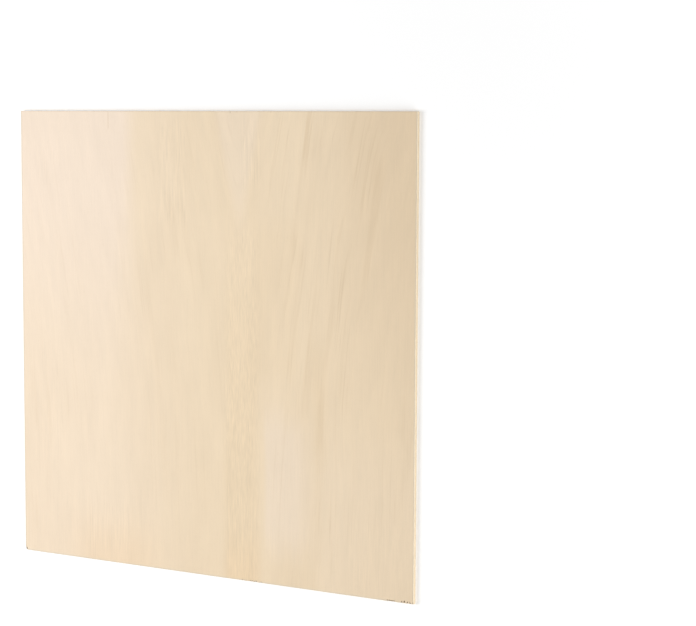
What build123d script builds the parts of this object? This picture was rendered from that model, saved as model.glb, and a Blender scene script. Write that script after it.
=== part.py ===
from build123d import *
import os

# Three-ply basswood plywood sheet, 305 mm square and 3 mm thick, lying flat.
# Millimetres. The origin is the middle of the underside, +Z is up through the plies, and +Y runs
# along the grain of the face veneer. The sheet is glued up from three peeled veneers, each turned
# 90 degrees to the one below it. The finished panel is sawn to size in one pass, so all three
# veneers share one outline. Sanding eases the outer arrises of the two skins.

# Sheet size, sawn after the plies are glued
sheet_width = 305.0  # along X, across the grain of the face veneer
sheet_length = 305.0  # along Y, along the grain of the face veneer
corner_radius = 0.3  # corners of the outline, knocked back by sanding

# Lay-up, from the underside to the face
back_thickness = 0.9
core_thickness = 1.2
face_thickness = 0.9

# Sanded arrises of the two skins
face_arris = 0.15
back_arris = 0.15

# Height of each glue line
lower_glue_line = back_thickness
upper_glue_line = lower_glue_line + core_thickness

# Sawn outline, shared by every veneer
with BuildSketch() as panel_outline:
    RectangleRounded(sheet_width, sheet_length, corner_radius)

# Back veneer: the underside, grain along Y
with BuildPart() as back_veneer:
    with BuildSketch(Plane.XY):
        add(panel_outline.sketch)
    extrude(amount=back_thickness)
    underside = back_veneer.faces().sort_by(Axis.Z)[0]
    chamfer(underside.edges(), back_arris)
back_veneer.part.label = "back_veneer"

# Core veneer: cross band between the skins, grain along X
with BuildPart() as core_veneer:
    with BuildSketch(Plane.XY.offset(lower_glue_line)):
        add(panel_outline.sketch)
    extrude(amount=core_thickness)
core_veneer.part.label = "core_veneer"

# Face veneer: the show side, grain along Y
with BuildPart() as face_veneer:
    with BuildSketch(Plane.XY.offset(upper_glue_line)):
        add(panel_outline.sketch)
    extrude(amount=face_thickness)
    show_side = face_veneer.faces().sort_by(Axis.Z)[-1]
    chamfer(show_side.edges(), face_arris)
face_veneer.part.label = "face_veneer"

# One STEP file for each veneer
os.makedirs("parts", exist_ok=True)
for veneer in (back_veneer, core_veneer, face_veneer):
    export_step(veneer.part, f"parts/{veneer.part.label}.step")
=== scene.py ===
import math
from collections import namedtuple
from functools import partial

import bpy
from mathutils import Matrix, Vector


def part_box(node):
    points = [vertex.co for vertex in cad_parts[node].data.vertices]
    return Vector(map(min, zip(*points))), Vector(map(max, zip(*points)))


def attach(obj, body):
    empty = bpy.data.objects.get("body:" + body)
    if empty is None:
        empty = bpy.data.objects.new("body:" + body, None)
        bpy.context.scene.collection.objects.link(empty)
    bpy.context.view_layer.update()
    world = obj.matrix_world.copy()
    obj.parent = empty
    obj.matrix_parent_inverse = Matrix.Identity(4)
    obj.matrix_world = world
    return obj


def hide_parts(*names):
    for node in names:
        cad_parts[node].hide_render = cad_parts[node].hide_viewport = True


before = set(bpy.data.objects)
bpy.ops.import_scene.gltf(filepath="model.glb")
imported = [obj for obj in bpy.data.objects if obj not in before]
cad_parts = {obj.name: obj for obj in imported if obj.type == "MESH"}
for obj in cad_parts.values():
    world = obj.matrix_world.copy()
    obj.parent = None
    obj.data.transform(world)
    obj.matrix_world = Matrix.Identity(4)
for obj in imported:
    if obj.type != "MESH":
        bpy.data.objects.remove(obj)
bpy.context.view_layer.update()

# A three-ply basswood plywood sheet, lying flat on a pale floor and seen from above.
# Each veneer of the lay-up is grown by one Geometry Nodes tree in its own grain frame, where
# "across" and "along" are the directions across and along its fibres and "depth" runs down from
# its outer side. Inside the trees and the materials every length is in millimetres.

MM = 0.001

# Camera: lens and place fitted to the four corners of the sheet, plus the picture's up direction
PICTURE_WIDTH = 696
FOCAL_PIXELS = 1910.0
SENSOR_WIDTH = 36.0
CAMERA_PLACE = Vector((0.6863, 0.1442, 1.0380))
CAMERA_AIM = Vector((0.1049, 0.0272, 0.0030))
PICTURE_UP = Vector((-0.0525, 0.9952, -0.0830))

# Heart line of the peeled figure, and how the growth rings open up along the sheet
HEART_ACROSS = 24.0
HEART_WIDTH = 5.0
RING_LEAN = 0.03
RING_LEAN_START = -152.0
RING_SPREAD = 0.0005
RING_SPREAD_START = -60.0

# Heart band: its sides, where its tan begins and is full, where its woven fibres begin and are full,
# where they are strongest, and where they start to weaken and are weakest
HEART_BAND = (15.0, 39.0)
HEART_TAN_RISE = (150.0, -40.0)
WEAVE_RISE = (95.0, 58.0)
STRONG_WEAVE = (-70.0, 0.0)
WEAVE_FADE = (-70.0, -100.0)

# Pale wedge at the rear: the ring that bounds it, and where it begins and is full
WEDGE_RING = -13.0
WEDGE_RISE = (50.0, 85.0)

# Pale sapwood of the left side, lightened by a painted sheen: where it has faded by half, how far
# the fade reaches to each side of that at the front and at the rear, where it is weakest and
# strongest along the sheet, and where the faint tinge beside it begins and is full
SAPWOOD_SHEEN_EDGE = -63.5
SAPWOOD_SHEEN_FADE = (38.0, 10.0)
SAPWOOD_SHEEN_RISE = (-60.0, 150.0)
SAPWOOD_SHEEN_TINGE = (10.0, -50.0)

# From the front to the rear part of the face, over which its sapwood and sheen and its margin of
# painted shade change
FRONT_TO_REAR = (-90.0, 110.0)

# Where the right flank of the face, its outer part and its darker margin, partly painted shade, begin
# and are full, and the bleached part of it, first across and then along
RIGHT_FLANK = (30.0, 70.0)
OUTER_FLANK = (98.0, 128.0)
PAINTED_SHADE_MARGIN = (60.0, 145.0)
BLEACHED_ACROSS = (74.0, 92.0)
BLEACHED_ALONG = (-30.0, -90.0)

# Patches of the face that differ from the rest, from left to right and then from front to rear.
# The tan and the combed ones are several, each with its own strength.
SILVER_PATCH = (44.0, 76.0, -128.0, -40.0)
TAN_PATCHES = (
    ((79.0, 90.0, -66.0, 8.0), 0.2),
    ((38.0, 70.0, -16.0, 84.0), 0.15),
)
COMBED_PATCHES = (
    ((-38.0, -16.0, 78.0, 146.0), 0.75),
    ((-144.0, -120.0, -88.0, -4.0), 0.3),
    ((-141.0, -122.0, 104.0, 130.0), 0.5),
    ((-98.0, -62.0, -150.0, -112.0), 0.5),
    ((-134.0, -104.0, -150.0, -104.0), 0.25),
    ((26.0, 40.0, 104.0, 146.0), 1.1),
    ((15.0, 38.0, -150.0, -86.0), 0.9),
    ((106.0, 148.0, -150.0, -102.0), 0.45),
)

# Marks on the face: the stain of its foot and the dark tick at its rear end, each across and along,
# and the grey painted shade along its rim, from clean to grey
FOOT_STAIN = (-105.0, -45.0)
FOOT_FADE = (-108.0, -152.0)
TICK_ACROSS = -79.0
TICK_WIDTH = 0.7
TICK_ALONG = (141.0, 152.0)
RIM_SIDES = (151.2, 152.2)
RIM_FRONT = (-151.4, -152.2)
RIM_REAR = (151.6, 152.4)

# Tear-out on the cross-cut ends: where the front arris is bitten tooth by tooth, where it is only
# ragged, where it has split along its length, and the chip at its left corner
BITTEN_STRETCH = (143.0, 152.4)
RAGGED_STRETCH = (19.0, 42.0)
SPLIT_STRETCH = (133.5, 139.5)
CHIPPED_CORNER = (-154.0, -151.2)
TOOTH_PITCH = 1.9

# How deep the tear-out goes, the ragged, split and nicked places as shares of that, how far it
# runs in along the fibres, how far it eats into the wall, and how far in the mesh follows the wall
TEAR_DEPTH = 0.42
RAGGED_DEPTH = 0.56
SPLIT_DEPTH = 0.75
NICK_DEPTH = 0.5
TEAR_LENGTH = 1.5
TEAR_LENGTH_SPREAD = 2.4
TEAR_RECESS = 0.30
RECESS_REACH = 0.7

# Worn arrises, rough sawn walls, and the hollow growth rings in the top layer of a skin
ARRIS = 0.16
END_ROUGHNESS = 0.045
SIDE_ROUGHNESS = 0.03
FIGURE_RELIEF = 0.02
FIGURE_LAYER = 0.05

# Fibres left standing on the cut ends: the tip is a share of the thickness, the root is how deep
# they are held, and tilt and swing are in radians
FIBRE_COUNT = 260
FIBRE_LENGTH = 1.3
FIBRE_THICKNESS = 0.09
FIBRE_TIP = 0.15
FIBRE_ROOT = 0.15
FIBRE_CURL = 0.18
FIBRE_TILT = 0.10
FIBRE_SWING = 0.7
FIBRE_SIDES = 5
FIBRE_SEGMENTS = 3

# Mesh of a veneer: columns across the grain, rows along it and levels through it, how closely rows
# and levels crowd towards the rim and the outer side, how near points are welded, the fold that
# shows as a sharp edge, and what keeps a root away from 0
COLUMNS = 900
ROWS = 88
LEVELS = 6
ROW_CROWDING = 0.05
LEVEL_CROWDING = 1.6
WELD = 0.002
CREASE = math.radians(35)
TINY = 1e-8

# Heights of the two glue lines, and where a line begins and is full
LOWER_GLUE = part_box("back_veneer")[1].z / MM
UPPER_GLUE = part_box("core_veneer")[1].z / MM
GLUE_WIDTH = (0.06, 0.02)

# Relief that the finish adds: fibres and sunken latewood and flecks on the sanded faces, pores and
# tooth marks on the sawn walls, and splinters where fibres are torn out
FIBRE_RELIEF = 0.05
LATEWOOD_RELIEF = 0.02
FLECK_RELIEF = 0.02
PORE_RELIEF = 0.04
TOOTH_RELIEF = 0.05
SPLINTER_RELIEF = 0.3

# Sanded wood, and how much rougher its sawn walls are
SANDED_ROUGHNESS = 0.60
WALL_ROUGHNESS = 0.2
WOOD_SPECULAR = 0.4

# Floor and light, in metres and watts. The floor is lifted towards white, more so far away.
FLOOR_REACH = 12.0
FLOOR_LEVEL = -0.00005
FLOOR_COLOUR = (0.86, 0.86, 0.86, 1.0)
FLOOR_LIFT = 0.25
FAR_FLOOR_LIFT = 0.83
FLOOR_FADE = (0.2, 1.15)
FILL_STRENGTH = 0.36
KEY_PLACE = (-0.85, 0.0, 0.95)
KEY_AIM = (0.0, 0.0, 0.0)
KEY_SIZE = 0.8
KEY_POWER = 11.15
EDGE_LAMP_PLACE = (1.15, -0.45, 0.36)
EDGE_LAMP_AIM = (0.15, 0.0, 0.0)
EDGE_LAMP_SIZE = 0.7
EDGE_LAMP_POWER = 8.45


def srgb(red, green, blue):
    """A colour given as 0 to 255 display values, as the linear colour that a shader takes."""
    linear = []
    for value in (red, green, blue):
        share = value / 255
        linear.append(share / 12.92 if share <= 0.04045 else ((share + 0.055) / 1.055) ** 2.4)
    return (*linear, 1.0)


# Colours of sanded, unfinished basswood; some also hold painted sheen, shade or highlight
CREAM = srgb(240, 219, 188)
# Sapwood, made paler still by a painted sheen of the left lamp
SAPWOOD_AND_SHEEN = srgb(244, 225, 204)
HEART_TAN = srgb(231, 206, 168)
FOOT_ORANGE = srgb(240, 205, 160)
SILVER = srgb(242, 224, 203)
LATEWOOD = srgb(205, 176, 136)
# Darker cream of the clouds in the wood, and the painted shade of the right margin
DARK_CREAM_AND_SHADE = srgb(227, 204, 171)
# Fresh-cut side grain, made paler than the wood by a painted highlight
FRESH_CUT_AND_HIGHLIGHT = srgb(250, 235, 206)
END_GRAIN = srgb(240, 220, 188)
CORE_WOOD = srgb(232, 210, 176)
GLUE_AMBER = srgb(188, 148, 102)
# Torn fibres, darkened by the painted shade of the notches
TORN_BROWN_AND_SHADE = srgb(112, 88, 62)
# Painted shade along the arrises
RIM_SHADE_GREY = srgb(210, 199, 178)


class Value:
    """A number that varies over a surface: one socket of a tree, with Python's operators."""

    def __init__(self, tree, socket):
        self.tree = tree
        self.socket = socket

    def __add__(self, other):
        return self.tree.math("ADD", self, other)

    def __radd__(self, other):
        return self.tree.math("ADD", other, self)

    def __sub__(self, other):
        return self.tree.math("SUBTRACT", self, other)

    def __rsub__(self, other):
        return self.tree.math("SUBTRACT", other, self)

    def __mul__(self, other):
        return self.tree.math("MULTIPLY", self, other)

    def __rmul__(self, other):
        return self.tree.math("MULTIPLY", other, self)

    def __truediv__(self, other):
        return self.tree.math("DIVIDE", self, other)

    def __rtruediv__(self, other):
        return self.tree.math("DIVIDE", other, self)

    def __pow__(self, other):
        return self.tree.math("POWER", self, other)

    def __neg__(self):
        return self.tree.math("MULTIPLY", self, -1.0)

    def __abs__(self):
        return self.tree.math("ABSOLUTE", self)

    def at_least(self, other):
        return self.tree.math("MAXIMUM", self, other)

    def at_most(self, other):
        return self.tree.math("MINIMUM", self, other)

    def above(self, other):
        return self.tree.math("GREATER_THAN", self, other)

    def ramp(self, start, stop):
        """0 at start and 1 at stop, with a smooth rise between; start may be the higher one."""
        node = self.tree.add(
            "ShaderNodeMapRange",
            {"Value": self, "From Min": start, "From Max": stop},
            interpolation_type="SMOOTHSTEP",
        )
        return self.tree.value(node, "Result")

    def band(self, low, high, soft):
        """1 between low and high, fading to 0 over twice soft at each side."""
        return self.ramp(low - soft, low + soft) * self.ramp(high + soft, high - soft)


class Tree:
    """Adds nodes to one shader or Geometry Nodes tree."""

    def __init__(self, node_tree):
        self.node_tree = node_tree

    def add(self, kind, sockets=None, **settings):
        """Makes a node, sets its settings, then fills its sockets with values or links.

        A socket is given by its name, identifier or number, and a node stands for its first output.
        """
        node = self.node_tree.nodes.new(kind)
        for name, value in settings.items():
            setattr(node, name, value)
        by_identifier = {socket.identifier: socket for socket in node.inputs}
        for key, value in (sockets or {}).items():
            socket = by_identifier[key] if key in by_identifier else node.inputs[key]
            if isinstance(value, Value):
                value = value.socket
            if isinstance(value, bpy.types.Node):
                value = value.outputs[0]
            if isinstance(value, bpy.types.NodeSocket):
                self.node_tree.links.new(value, socket)
            else:
                socket.default_value = value
        return node

    def value(self, node, output=0):
        """An output of a node, as a value."""
        return Value(self, node.outputs[output])

    def output(self, node, identifier):
        """The output that is told from others of its name by its identifier."""
        return next(socket for socket in node.outputs if socket.identifier == identifier)

    def math(self, operation, *terms):
        """What one Math node makes of values and numbers."""
        return self.value(self.add("ShaderNodeMath", dict(enumerate(terms)), operation=operation))

    def split(self, vector):
        """The three parts of a vector, as values."""
        node = self.add("ShaderNodeSeparateXYZ", {0: vector})
        return [Value(self, socket) for socket in node.outputs]

    def join(self, x, y, z):
        """A vector of three parts."""
        return self.add("ShaderNodeCombineXYZ", {0: x, 1: y, 2: z})

    def noise(self, x, y, z=0.0, detail=2.0, roughness=0.5):
        """Smooth noise around 0, about -0.25 to 0.25, over a place given as three values.

        Where z is a plain number, it picks one slice of the noise, so each feature has its own.
        """
        node = self.add(
            "ShaderNodeTexNoise",
            {"Vector": self.join(x, y, z), "Scale": 1.0, "Detail": detail, "Roughness": roughness},
            noise_dimensions="3D",
        )
        return self.value(node) - 0.5

    def random(self, low, high, seed):
        """A number for each point of a geometry, anywhere between low and high."""
        node = self.add(
            "FunctionNodeRandomValue",
            {"Min_001": low, "Max_001": high, "Seed": seed},
            data_type="FLOAT",
        )
        return Value(self, self.output(node, "Value_001"))

    def mix(self, factor, first, second):
        """The first colour where factor is 0 and the second where it is 1."""
        node = self.add(
            "ShaderNodeMix",
            {"Factor_Float": factor, "A_Color": first, "B_Color": second},
            data_type="RGBA",
            clamp_factor=True,
        )
        return self.output(node, "Result_Color")

    def layered(self, ground, *layers):
        """A ground colour with others laid over it in turn, each given with its strength."""
        colour = ground
        for strength, layer in layers:
            colour = self.mix(strength, colour, layer)
        return colour

    def shaded(self, colour, value):
        """A colour made lighter or darker by a value around 1."""
        return self.add("ShaderNodeVectorMath", {0: colour, "Scale": value}, operation="SCALE")

    def joined(self, *parts):
        """Several geometries as one."""
        node = self.add("GeometryNodeJoinGeometry")
        for part in parts:
            self.node_tree.links.new(part.outputs[0], node.inputs[0])
        return node


def blank_material(name):
    """A new material without nodes, and the tree to fill."""
    material = bpy.data.materials.new(name)
    material.use_nodes = True
    material.node_tree.nodes.clear()
    return material, Tree(material.node_tree)


def ring_place(tree, across, along):
    """How far out from the heart line a point of the figure lies, measured ring by ring."""
    wander = tree.noise(across / 75, along / 240, 3.1) * 22 + tree.noise(across / 21, along / 95, 7.7) * 4
    from_heart = ((across - HEART_ACROSS) ** 2 + HEART_WIDTH**2) ** 0.5
    climb = (along - RING_SPREAD_START).at_least(0)
    lean = (along - RING_LEAN_START) * RING_LEAN + climb * climb * RING_SPREAD
    return from_heart - lean + wander


def latewood_streaks(tree, across, along, place):
    """Thin dark streaks that follow the growth rings and come and go, 0 to 1."""
    coarse = tree.noise(place / 7, along / 200, 1.3, 3.0, 0.55)
    fine = tree.noise(place / 1.9, along / 80, 5.9, 2.0, 0.5)
    fading = tree.noise(across / 26, along / 62, 9.2).ramp(-0.10, 0.14)
    return (coarse.ramp(0.03, 0.20) * 0.6 + fine.ramp(0.04, 0.20) * 0.55) * (fading * 0.85 + 0.15)


def fibres_and_flecks(tree, across, along, fibre_slice, fleck_slice):
    """Long fine fibres, around 0, and short dark flecks, 0 to 1."""
    fibre = tree.noise(across / 0.8, along / 34, fibre_slice, 3.0, 0.6)
    fleck = tree.noise(across / 0.32, along / 3.6, fleck_slice, 1.0).ramp(0.06, 0.22)
    return fibre, fleck


def patch(across, along, spread, soft):
    """1 inside a patch of the face, fading out over its rim."""
    left, right, front, rear = spread
    return across.band(left, right, soft) * along.band(front, rear, soft * 3)


def patches(across, along, spreads, soft):
    """The strengths of the patches that hold a point, added up."""
    total = 0.0
    for spread, strength in spreads:
        total = patch(across, along, spread, soft) * strength + total
    return total


def woven_fibres(tree, across, along):
    """Short pale and dark streaks, around 0, that lean both ways, as where the blade ran along a ring."""
    left = tree.noise((across + along * 0.07) / 0.9, along / 8, 2.4, 1.0)
    right = tree.noise((across - along * 0.07) / 0.9, along / 8, 6.8, 1.0)
    return left + right


def combed_fibres(tree, across, along):
    """Fine straight streaks, around 0, in the patches where the blade combed the fibres up."""
    return tree.noise(across / 0.9, along / 16, 27.5, 1.0) * patches(across, along, COMBED_PATCHES, 3)


def fine_lines(tree, across, along, band, flank, fibre):
    """The fine streaks of the face, around 0: its fibres, woven in the heart band, combed in patches."""
    strength = along.band(*STRONG_WEAVE, 10) * 0.3 - along.ramp(*WEAVE_FADE) * 0.4 + 1
    crossed = band * along.ramp(*WEAVE_RISE) * strength
    woven = woven_fibres(tree, across, along) * (crossed * 0.9 + 0.1)
    combed = combed_fibres(tree, across, along)
    return fibre * (flank * 0.024 + 0.056) + woven * 0.13 + combed * 0.24


def pale_sapwood_and_sheen(across, along, ragged):
    """The pale sapwood of the left side with a painted sheen over it, crisper and stronger towards the
    rear, 0 to 1.
    """
    front_fade, rear_fade = SAPWOOD_SHEEN_FADE
    fade = front_fade - along.ramp(*FRONT_TO_REAR) * (front_fade - rear_fade)
    side = (across + ragged * 0.6).ramp(SAPWOOD_SHEEN_EDGE + fade, SAPWOOD_SHEEN_EDGE - fade)
    return side * (along.ramp(*SAPWOOD_SHEEN_RISE) * 0.7 + 0.3)


def silver_patch(across, along, ragged):
    """The paler patch beside the heart line, crisp towards it and faint on its other sides."""
    left, right, front, rear = SILVER_PATCH
    crisp_side = (across + ragged * 0.3).ramp(left - 2, left + 2)
    faint_side = (across + ragged).ramp(right + 10, right - 10)
    return crisp_side * faint_side * (along + ragged * 2).band(front, rear, 16)


def rear_wedge(along, place):
    """The pale wedge at the rear, inside the rings that close round the heart line, 0 to 1."""
    return place.ramp(WEDGE_RING + 4, WEDGE_RING - 4) * along.ramp(*WEDGE_RISE)


def foot_stain(across, along, drift, band):
    """The warm stain along the front end, strongest to the left and in the heart band."""
    warmth = across.band(*FOOT_STAIN, 18) * 0.24 + band * 0.2 + 0.04
    return (along + drift * 0.8).ramp(*FOOT_FADE) * warmth


def rear_tick(across, along):
    """A short dark tick along one fibre at the rear end, 0 to 1."""
    fibre = (across - TICK_ACROSS).band(-TICK_WIDTH / 2, TICK_WIDTH / 2, 0.3)
    return fibre * along.band(*TICK_ALONG, 2)


def painted_rim_shade(across, along):
    """The rim of the face, a little greyer from painted shade, 0 to 1."""
    sides = abs(across).ramp(*RIM_SIDES)
    ends = along.ramp(*RIM_FRONT).at_least(along.ramp(*RIM_REAR) * 0.4)
    return sides.at_least(ends)


def show_side_figure(tree, across, along):
    """Colour and fibre relief of the face: the figure that the peeled veneer shows."""
    place = ring_place(tree, across, along)
    streaks = latewood_streaks(tree, across, along, place)
    fibre, fleck = fibres_and_flecks(tree, across, along, 8.1, 15.2)
    cloud = tree.noise(across / 34, along / 170, 4.4, 3.0).ramp(-0.16, 0.16)
    mottle = tree.noise(place / 6, along / 34, 31.5)
    drift = tree.noise(across / 60, along / 130, 12.5) * 14
    ragged = drift + tree.noise(across / 5, along / 90, 18.3) * 9

    band = (across + ragged * 0.5).band(*HEART_BAND, 5)
    sapwood_and_sheen = pale_sapwood_and_sheen(across, along, ragged)
    silver = silver_patch(across, along, ragged)
    tan = patches(across + ragged * 0.4, along + drift, TAN_PATCHES, 4)
    bleached = across.ramp(*BLEACHED_ACROSS) * along.ramp(*BLEACHED_ALONG)
    margin = (across + ragged * 0.8).ramp(*PAINTED_SHADE_MARGIN) * (along.ramp(*FRONT_TO_REAR) * 0.6 + 0.4)
    flank = across.ramp(*RIGHT_FLANK)
    outer_flank = across.ramp(*OUTER_FLANK)
    streak_depth = flank * 0.27 + 0.17 - sapwood_and_sheen * 0.10 - silver * 0.16 - outer_flank * 0.14

    colour = tree.layered(
        CREAM,
        (cloud * 0.25, DARK_CREAM_AND_SHADE),
        # Pale sapwood, partly a painted sheen
        (sapwood_and_sheen * 0.9 + across.ramp(*SAPWOOD_SHEEN_TINGE) * 0.2, SAPWOOD_AND_SHEEN),
        (band * along.ramp(*HEART_TAN_RISE) * 0.35 + tan, HEART_TAN),
        (foot_stain(across, along, drift, band), FOOT_ORANGE),
        (silver * 0.5 + rear_wedge(along, place) * 0.36 + bleached * 0.2, SILVER),
        # Right margin: darker wood with painted shade, deepest towards the rear
        (margin * 0.85, DARK_CREAM_AND_SHADE),
        (streaks * streak_depth, LATEWOOD),
        (fleck * 0.06 + rear_tick(across, along) * 0.3, LATEWOOD),
        # Painted shade along the rim
        (painted_rim_shade(across, along) * 0.5, RIM_SHADE_GREY),
    )
    lines = fine_lines(tree, across, along, band, flank, fibre)
    colour = tree.shaded(colour, 1 + lines + mottle * 0.09)
    return colour, fibre * FIBRE_RELIEF - streaks * LATEWOOD_RELIEF - fleck * FLECK_RELIEF


def plain_figure(tree, across, along, wood, seed):
    """Colour and fibre relief of a quiet veneer that shows little of its figure."""
    streaks = tree.noise(across / 6, along / 260, seed, 3.0).ramp(0.0, 0.2)
    cloud = tree.noise(across / 45, along / 150, seed + 4.1).ramp(-0.16, 0.16)
    fibre, fleck = fibres_and_flecks(tree, across, along, seed + 8.3, seed + 2.2)
    colour = tree.layered(
        wood,
        (cloud * 0.5, DARK_CREAM_AND_SHADE),
        (streaks * 0.25 + fleck * 0.08, LATEWOOD),
    )
    return tree.shaded(colour, 1 + fibre * 0.12), fibre * FIBRE_RELIEF - fleck * FLECK_RELIEF


def sawn_edges(tree, spot, normal, colour, relief):
    """Adds what the saw left on the edges: end grain, pores, tooth marks and the glue lines."""
    across, along, height = spot
    side_wall, end_wall = (abs(part).ramp(0.45, 0.75) for part in normal[:2])
    wall = end_wall.at_least(side_wall)
    pores = tree.noise(across / 0.09, along / 0.09, height / 0.09, 1.0)
    rays = tree.noise(across / 0.2, height / 4, 21.0, 1.0)
    rings = tree.noise(across / 16, height / 0.17, 27.0, 1.0)
    tooth_marks = tree.noise((across + along + height * 0.4) / 0.55, height / 6, 33.0, 1.0)
    fuzz = tree.noise(along / 9, height / 0.12, across / 9, 2.0)
    end_shade = pores * 0.35 + rays * 0.3 + rings * 0.35 + tooth_marks * 0.2
    side_shade = fuzz * 0.45 + tooth_marks * 0.22
    glue = abs(height - LOWER_GLUE).at_most(abs(height - UPPER_GLUE)).ramp(*GLUE_WIDTH)

    # Side walls take the fresh-cut colour with its painted highlight
    colour = tree.layered(colour, (side_wall * 0.9, FRESH_CUT_AND_HIGHLIGHT), (end_wall * 0.75, END_GRAIN))
    colour = tree.shaded(colour, 1 + end_wall * end_shade + side_wall * side_shade)
    colour = tree.mix(glue * wall * 0.5, colour, GLUE_AMBER)
    relief = relief + end_wall * (pores + rays) * PORE_RELIEF + wall * tooth_marks * TOOTH_RELIEF
    return colour, relief, wall


def torn_wood_and_shade(tree, spot, colour, relief):
    """Adds the dark, frayed wood of the places where fibres are torn out, darker still from painted shade
    in the notches.
    """
    across, along, height = spot
    torn = tree.value(tree.add("ShaderNodeAttribute", attribute_name="torn"), "Fac")
    splinters = tree.noise(across / 0.16, along / 2.5, height / 0.5, 1.0)
    bare = (torn + splinters * 1.3).ramp(0.36, 0.58)
    frayed_and_shaded = tree.shaded(TORN_BROWN_AND_SHADE[:3], 1 + splinters * 1.6)
    return tree.mix(bare * 0.9, colour, frayed_and_shaded), relief + bare * splinters * SPLINTER_RELIEF


def basswood(name, grain, figure):
    """Sanded, unfinished basswood, matt and rougher on its sawn walls. grain gives its grain frame."""
    material, tree = blank_material(name)
    where = tree.add("ShaderNodeTexCoord")
    spot = grain([part / MM for part in tree.split(where.outputs["Object"])])
    normal = grain(tree.split(where.outputs["Normal"]))
    colour, relief = figure(tree, spot[0], spot[1])
    colour, relief, wall = sawn_edges(tree, spot, normal, colour, relief)
    colour, relief = torn_wood_and_shade(tree, spot, colour, relief)
    bump = tree.add("ShaderNodeBump", {"Strength": 1.0, "Distance": MM, "Height": relief})
    surface = tree.add(
        "ShaderNodeBsdfPrincipled",
        {
            "Base Color": colour,
            "Roughness": SANDED_ROUGHNESS + relief * 1.2 + wall * WALL_ROUGHNESS,
            "Normal": bump,
            "Specular IOR Level": WOOD_SPECULAR,
        },
    )
    tree.add("ShaderNodeOutputMaterial", {"Surface": surface})
    return material


# Where a point of a slab lies: its side and its end as -1 or 1, how far in from them it is, how
# deep, and where that is across and along
Spot = namedtuple("Spot", "side end from_side from_end depth across along")


def unit_block(tree, size):
    """A block from -1 to 1 without its glued faces: a skin keeps its outer side, and the core neither."""
    block = tree.add(
        "GeometryNodeMeshCube",
        {
            "Size": (2.0, 2.0, 2.0),
            "Vertices X": size["Columns"],
            "Vertices Y": size["Rows"],
            "Vertices Z": size["Levels"],
        },
    )
    facing = tree.split(tree.add("GeometryNodeInputNormal"))[2]
    glued = (-facing).at_least(abs(facing) * (1 - size["Skin"])).above(0.5)
    return tree.add("GeometryNodeDeleteGeometry", {"Geometry": block, "Selection": glued}, domain="FACE")


def crowded(share):
    """Spaces rows closely at the border, where share is 0, and widely at the middle, where it is 1."""
    return share * (share + ROW_CROWDING) / (1 + ROW_CROWDING)


def slab_spot(tree, size):
    """Where a point of the unit block goes in the slab, before anything wears or tears it."""
    unit_across, unit_along, unit_level = tree.split(tree.add("GeometryNodeInputPosition"))
    side = tree.math("SIGN", unit_across)
    end = tree.math("SIGN", unit_along)
    from_side = size["Half Across"] * (1 - abs(unit_across)).at_least(0)
    from_end = size["Half Along"] * crowded((1 - abs(unit_along)).at_least(0))
    depth = size["Thickness"] * ((1 - unit_level) / 2).at_least(0) ** LEVEL_CROWDING
    across = side * (size["Half Across"] - from_side)
    along = end * (size["Half Along"] - from_end)
    return Spot(side, end, from_side, from_end, depth, across, along)


def torn_arris(tree, size, spot):
    """Where the saw has torn fibres out of a cross-cut arris, 0 to 1."""
    across, end, seed = spot.across, spot.end, size["Seed"]
    shown_front = end.ramp(0.5, -0.5) * size["Show Side"]
    bitten = across.band(*BITTEN_STRETCH, 0.5)
    chipped = across.band(*CHIPPED_CORNER, 0.3)
    ragged = across.band(*RAGGED_STRETCH, 1.5)
    split = across.band(*SPLIT_STRETCH, 0.5)
    wobble = tree.noise(across / 3, end * 3, seed) * 1.6
    tooth = tree.math("COSINE", (across + wobble) * (math.tau / TOOTH_PITCH)).ramp(-0.2, 0.45)
    bite = tooth * (tree.noise(across / 1.3, end * 3, seed + 9.5, 1.0).ramp(-0.2, 0.1) * 0.5 + 0.5)
    scraps = tree.noise(across / 1.5, end * 4, seed + 7.5, 1.0).ramp(-0.10, 0.08) * RAGGED_DEPTH
    sawn_out = shown_front * (bitten * bite + ragged * scraps + split * SPLIT_DEPTH + chipped)
    scattered = tree.noise(across / 0.9, end * 5, seed + 1.5, 1.0).ramp(0.14, 0.22)
    clusters = tree.noise(across / 12, end * 7, seed + 3.5, 1.0).ramp(0.02, 0.12)
    nicks = sawn_out.at_least(scattered * clusters * NICK_DEPTH)
    length = TEAR_LENGTH + tree.noise(across / 0.5, end * 2, seed + 5.5) * TEAR_LENGTH_SPREAD
    length = length + chipped * 0.7 - shown_front * (split * 0.6 + ragged * 0.4)
    return nicks * spot.from_end.ramp(length, length * 0.7)


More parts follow.
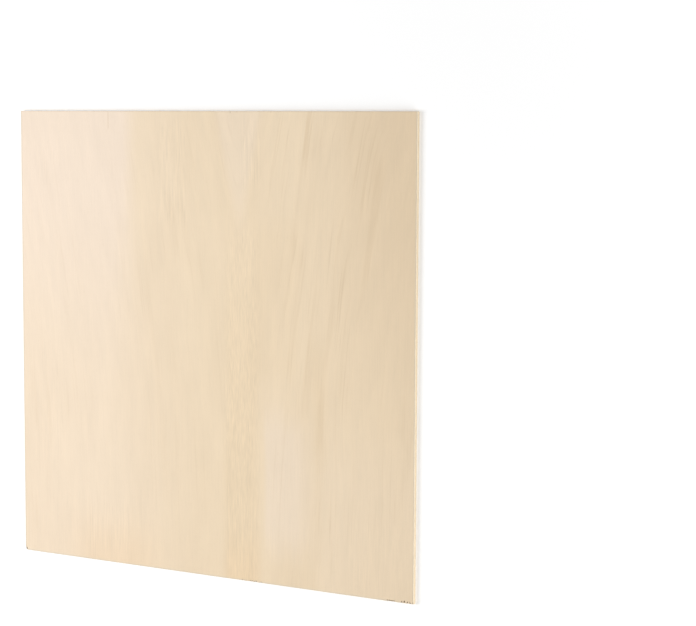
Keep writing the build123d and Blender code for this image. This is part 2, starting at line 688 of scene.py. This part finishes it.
def worn_place(tree, size, spot, torn):
    """Where a point ends up: arrises worn round, walls roughened, notches torn out, rings hollowed."""
    side, end, from_side, from_end, depth, across, along = spot
    seed = size["Seed"]
    worn = size["Arris"] * (1 + tree.noise(across / 14, along / 14, seed + 2.0) * 2.0)
    out_side = (worn - from_side).at_least(0)
    out_end = (worn - from_end).at_least(0)
    out_top = (worn - depth).at_least(0) * size["Skin"]
    reach = (out_side**2 + out_end**2 + out_top**2).at_least(TINY) ** 0.5
    pull_in = 1 - (worn / reach).at_most(1)

    end_grain = (tree.noise(across / 0.5, depth / 0.22, end + seed, 1.0) + 0.3) * END_ROUGHNESS
    side_grain = (tree.noise(along / 14, depth / 0.25, side + seed, 1.0) + 0.3) * SIDE_ROUGHNESS
    end_loss = (end_grain + torn * TEAR_RECESS) * from_end.ramp(RECESS_REACH, 0.0)
    side_loss = (side_grain + torn * TEAR_RECESS * 0.8) * from_side.ramp(RECESS_REACH, 0.0)

    streaks = latewood_streaks(tree, across, along, ring_place(tree, across, along))
    hollow = streaks * depth.ramp(FIGURE_LAYER, 0.0) * size["Skin"] * FIGURE_RELIEF
    drop = (torn * size["Tear"] + hollow) * (1 - depth / size["Thickness"])
    return tree.join(
        side * (size["Half Across"] - from_side - out_side * pull_in - side_loss),
        end * (size["Half Along"] - from_end - out_end * pull_in - end_loss),
        size["Thickness"] / 2 - depth - out_top * pull_in - drop,
    )


def lid(tree, slab, side, half_thickness):
    """A flat cover for the open rim of a slab at its upper (1) or lower (-1) side."""
    faces = tree.value(tree.add("GeometryNodeInputMeshEdgeNeighbors"))
    level = tree.split(tree.add("GeometryNodeInputPosition"))[2]
    rim = tree.math("LESS_THAN", faces, 1.5) * (level * side).above(0)
    loop = tree.add("GeometryNodeMeshToCurve", {"Mesh": slab, "Selection": rim})
    flat = tree.add("GeometryNodeFillCurve", {"Curve": loop})
    lift = tree.join(0, 0, half_thickness * side)
    raised = tree.add("GeometryNodeSetPosition", {"Geometry": flat, "Offset": lift})
    outward = (tree.split(tree.add("GeometryNodeInputNormal"))[2] * side).above(0)
    return tree.add("GeometryNodeFlipFaces", {"Mesh": raised, "Selection": 1 - outward})


def crisp_edges(tree, slab):
    """A slab that is shaded smooth, but not over its sharp edges."""
    smooth = tree.add("GeometryNodeSetShadeSmooth", {"Geometry": slab}, domain="FACE")
    fold = tree.value(tree.add("GeometryNodeInputMeshEdgeAngle"))
    return tree.add(
        "GeometryNodeSetShadeSmooth",
        {"Geometry": smooth, "Selection": fold.above(CREASE), "Shade Smooth": False},
        domain="EDGE",
    )


def loose_fibres(tree, size):
    """Fibres that the saw left standing on the cross-cut ends."""
    end = tree.math("SIGN", tree.random(-1.0, 1.0, 11))
    across = tree.random(-0.995, 0.995, 12) * size["Half Across"]
    depth = tree.random(0.25, 0.8, 13) * size["Thickness"]
    root = tree.join(across, end * (size["Half Along"] - FIBRE_ROOT), size["Thickness"] / 2 - depth)
    points = tree.add("GeometryNodePoints", {"Count": size["Fibres"], "Position": root})
    fibre = tree.add(
        "GeometryNodeMeshCone",
        {
            "Vertices": FIBRE_SIDES,
            "Side Segments": FIBRE_SEGMENTS,
            "Radius Top": FIBRE_THICKNESS * FIBRE_TIP,
            "Radius Bottom": FIBRE_THICKNESS / 2,
            "Depth": 1.0,
        },
    )
    along_fibre = tree.split(tree.add("GeometryNodeInputPosition"))[2]
    bend = tree.join(along_fibre * along_fibre * FIBRE_CURL, 0, 0)
    curled = tree.add("GeometryNodeSetPosition", {"Geometry": fibre, "Offset": bend})
    tilt = tree.random(-FIBRE_TILT, FIBRE_TILT, 14) - end * (math.pi / 2)
    swing = tree.random(-FIBRE_SWING, FIBRE_SWING, 15)
    length = tree.random(0.3, 1.0, 16) ** 2 * FIBRE_LENGTH
    width = tree.random(0.6, 1.3, 17)
    return tree.add(
        "GeometryNodeInstanceOnPoints",
        {
            "Points": points,
            "Instance": curled,
            "Rotation": tree.add("FunctionNodeEulerToRotation", {0: tree.join(tilt, 0, swing)}),
            "Scale": tree.join(width, width, length),
        },
    )


# Inputs of the tree that grows a veneer, and the kind of each
SLAB_SIZES = {
    "Half Across": "NodeSocketFloat",
    "Half Along": "NodeSocketFloat",
    "Thickness": "NodeSocketFloat",
    "Arris": "NodeSocketFloat",
    "Skin": "NodeSocketFloat",
    "Show Side": "NodeSocketFloat",
    "Tear": "NodeSocketFloat",
    "Fibres": "NodeSocketInt",
    "Columns": "NodeSocketInt",
    "Rows": "NodeSocketInt",
    "Levels": "NodeSocketInt",
    "Seed": "NodeSocketFloat",
    "Turn": "NodeSocketVector",
    "Centre": "NodeSocketVector",
    "Wood": "NodeSocketMaterial",
}


def veneer_slab():
    """The tree that grows one veneer in its grain frame, outer side up, and turns it into place."""
    group = bpy.data.node_groups.new("veneer slab", "GeometryNodeTree")
    group.interface.new_socket("Veneer", in_out="OUTPUT", socket_type="NodeSocketGeometry")
    for name, kind in SLAB_SIZES.items():
        group.interface.new_socket(name, in_out="INPUT", socket_type=kind)
    tree = Tree(group)
    sockets = tree.add("NodeGroupInput").outputs
    size = {socket.name: Value(tree, socket) for socket in sockets if socket.name}

    spot = slab_spot(tree, size)
    tear = torn_arris(tree, size, spot) * size["Skin"]
    marked = tree.add(
        "GeometryNodeStoreNamedAttribute",
        {"Geometry": unit_block(tree, size), "Name": "torn", "Value": tear},
        data_type="FLOAT",
        domain="POINT",
    )
    torn = tree.value(tree.add("GeometryNodeInputNamedAttribute", {"Name": "torn"}, data_type="FLOAT"))
    place = worn_place(tree, size, spot, torn)
    slab = tree.add("GeometryNodeSetPosition", {"Geometry": marked, "Position": place})

    lids = [lid(tree, slab, side, size["Thickness"] / 2) for side in (-1, 1)]
    whole = tree.joined(slab, *lids)
    welded = tree.add("GeometryNodeMergeByDistance", {"Geometry": whole, "Distance": WELD})
    veneer = tree.joined(crisp_edges(tree, welded), loose_fibres(tree, size))

    laid = tree.add(
        "GeometryNodeTransform",
        {
            "Geometry": veneer,
            "Translation": size["Centre"],
            "Rotation": tree.add("FunctionNodeEulerToRotation", {0: size["Turn"]}),
            "Scale": (MM, MM, MM),
        },
    )
    realized = tree.add("GeometryNodeRealizeInstances", {"Geometry": laid})
    painted = tree.add("GeometryNodeSetMaterial", {"Geometry": realized, "Material": size["Wood"]})
    tree.add("NodeGroupOutput", {0: painted})
    return group


def grown(name, tree, values):
    """Runs a Geometry Nodes tree once and keeps what it makes as a plain mesh."""
    piece = bpy.data.objects.new(name, bpy.data.meshes.new(name))
    bpy.context.scene.collection.objects.link(piece)
    modifier = piece.modifiers.new("grow", "NODES")
    modifier.node_group = tree
    for item in tree.interface.items_tree:
        if item.in_out == "INPUT":
            modifier[item.identifier] = values[item.name]
    depsgraph = bpy.context.evaluated_depsgraph_get()
    mesh = bpy.data.meshes.new_from_object(piece.evaluated_get(depsgraph), depsgraph=depsgraph)
    mesh.name = name
    piece.modifiers.clear()
    piece.data = mesh
    return piece


def face_grain(parts):
    """Grain frame of the face: fibres along Y, outer side up."""
    return parts


def core_grain(parts):
    """Grain frame of the core: a quarter turn, so fibres run along X."""
    x, y, z = parts
    return [y, -x, z]


def back_grain(parts):
    """Grain frame of the back: fibres along Y, turned over."""
    x, y, z = parts
    return [-x, y, z]


# The lay-up: what each veneer replaces, how it is turned and what it looks like. A skin is 1 and
# the core is 0.
LAY_UP = {
    "face_skin": {
        "node": "face_veneer",
        "slot": "face_basswood",
        "turn": (0.0, 0.0, 0.0),
        "grain": face_grain,
        "figure": show_side_figure,
        "skin": 1.0,
        "seed": 0.0,
    },
    "core_cross_band": {
        "node": "core_veneer",
        "slot": "core_basswood",
        "turn": (0.0, 0.0, math.pi / 2),
        "grain": core_grain,
        "figure": partial(plain_figure, wood=CORE_WOOD, seed=60.0),
        "skin": 0.0,
        "seed": 17.0,
    },
    "back_skin": {
        "node": "back_veneer",
        "slot": "back_basswood",
        "turn": (0.0, math.pi, 0.0),
        "grain": back_grain,
        "figure": partial(plain_figure, wood=CREAM, seed=40.0),
        "skin": 1.0,
        "seed": 31.0,
    },
}


def lay(name, ply, tree):
    """Grows one veneer of the lay-up where its solid lies, to stand for that solid."""
    low, high = (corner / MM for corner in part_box(ply["node"]))
    half = (high - low) / 2
    crosswise = ply["grain"] is core_grain
    veneer = grown(
        name,
        tree,
        {
            "Half Across": half.y if crosswise else half.x,
            "Half Along": half.x if crosswise else half.y,
            "Thickness": high.z - low.z,
            "Arris": ARRIS,
            "Skin": ply["skin"],
            "Show Side": float(name == "face_skin"),
            "Tear": TEAR_DEPTH,
            "Fibres": FIBRE_COUNT,
            "Columns": COLUMNS,
            "Rows": ROWS,
            "Levels": LEVELS,
            "Seed": ply["seed"],
            "Turn": ply["turn"],
            "Centre": tuple((low + high) / 2 * MM),
            "Wood": basswood(ply["slot"], ply["grain"], ply["figure"]),
        },
    )
    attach(veneer, "root")
    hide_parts(ply["node"])


def seen_rays(tree):
    """1 for rays that show what is behind the sheet: from the camera, a gloss or clear material."""
    path = tree.add("ShaderNodeLightPath")
    kinds = ("Is Camera Ray", "Is Glossy Ray", "Is Transmission Ray")
    camera_ray, glossy_ray, clear_ray = (tree.value(path, kind) for kind in kinds)
    return (camera_ray + glossy_ray + clear_ray).at_most(1)


def pale_floor():
    """A plain near-white floor under the sheet, which keeps its shadow."""
    mesh = bpy.data.meshes.new("studio_floor")
    signs = ((-1, -1), (1, -1), (1, 1), (-1, 1))
    corners = [(x * FLOOR_REACH, y * FLOOR_REACH, FLOOR_LEVEL) for x, y in signs]
    mesh.from_pydata(corners, [], [(0, 1, 2, 3)])
    floor = bpy.data.objects.new("studio_floor", mesh)
    bpy.context.scene.collection.objects.link(floor)
    material, tree = blank_material("floor_paint")
    x, y, _ = tree.split(tree.add("ShaderNodeTexCoord").outputs["Object"])
    far = ((x**2 + y**2) ** 0.5).ramp(*FLOOR_FADE)
    lift = seen_rays(tree) * (far * (FAR_FLOOR_LIFT - FLOOR_LIFT) + FLOOR_LIFT)
    paint = tree.add(
        "ShaderNodeBsdfPrincipled",
        {
            "Base Color": FLOOR_COLOUR,
            "Roughness": 1.0,
            "Specular IOR Level": 0.0,
            "Emission Color": tree.join(lift, lift, lift),
            "Emission Strength": 1.0,
        },
    )
    tree.add("ShaderNodeOutputMaterial", {"Surface": paint})
    mesh.materials.append(material)


def studio_world():
    """Even soft fill light, seen as plain white."""
    world = bpy.data.worlds.new("studio")
    world.use_nodes = True
    world.node_tree.nodes.clear()
    tree = Tree(world.node_tree)
    strength = seen_rays(tree) * (1 - FILL_STRENGTH) + FILL_STRENGTH
    light = tree.add("ShaderNodeBackground", {"Color": (1.0, 1.0, 1.0, 1.0), "Strength": strength})
    tree.add("ShaderNodeOutputWorld", {"Surface": light})
    bpy.context.scene.world = world


def softbox(name, place, aim, size, power):
    """A square soft lamp at a place, turned towards an aim point."""
    lamp = bpy.data.lights.new(name, "AREA")
    lamp.shape = "SQUARE"
    lamp.size = size
    lamp.energy = power
    box = bpy.data.objects.new(name, lamp)
    box.location = place
    box.rotation_mode = "QUATERNION"
    box.rotation_quaternion = (Vector(aim) - Vector(place)).to_track_quat("-Z", "Y")
    box.visible_camera = False
    bpy.context.scene.collection.objects.link(box)


def camera():
    """The photograph's viewpoint, looking down on the sheet."""
    lens = bpy.data.cameras.new("camera")
    lens.sensor_width = SENSOR_WIDTH
    lens.lens = FOCAL_PIXELS / PICTURE_WIDTH * SENSOR_WIDTH
    viewer = bpy.data.objects.new("camera", lens)
    back = (CAMERA_PLACE - CAMERA_AIM).normalized()
    right = PICTURE_UP.cross(back).normalized()
    up = back.cross(right)
    turn = Matrix((right, up, back)).transposed().to_4x4()
    viewer.matrix_world = Matrix.Translation(CAMERA_PLACE) @ turn
    bpy.context.scene.collection.objects.link(viewer)
    bpy.context.scene.camera = viewer


slab_tree = veneer_slab()
for name, ply in LAY_UP.items():
    lay(name, ply, slab_tree)

pale_floor()
studio_world()
softbox("key_softbox", KEY_PLACE, KEY_AIM, KEY_SIZE, KEY_POWER)
softbox("edge_softbox", EDGE_LAMP_PLACE, EDGE_LAMP_AIM, EDGE_LAMP_SIZE, EDGE_LAMP_POWER)
camera()
bpy.context.scene.view_settings.view_transform = "Standard"
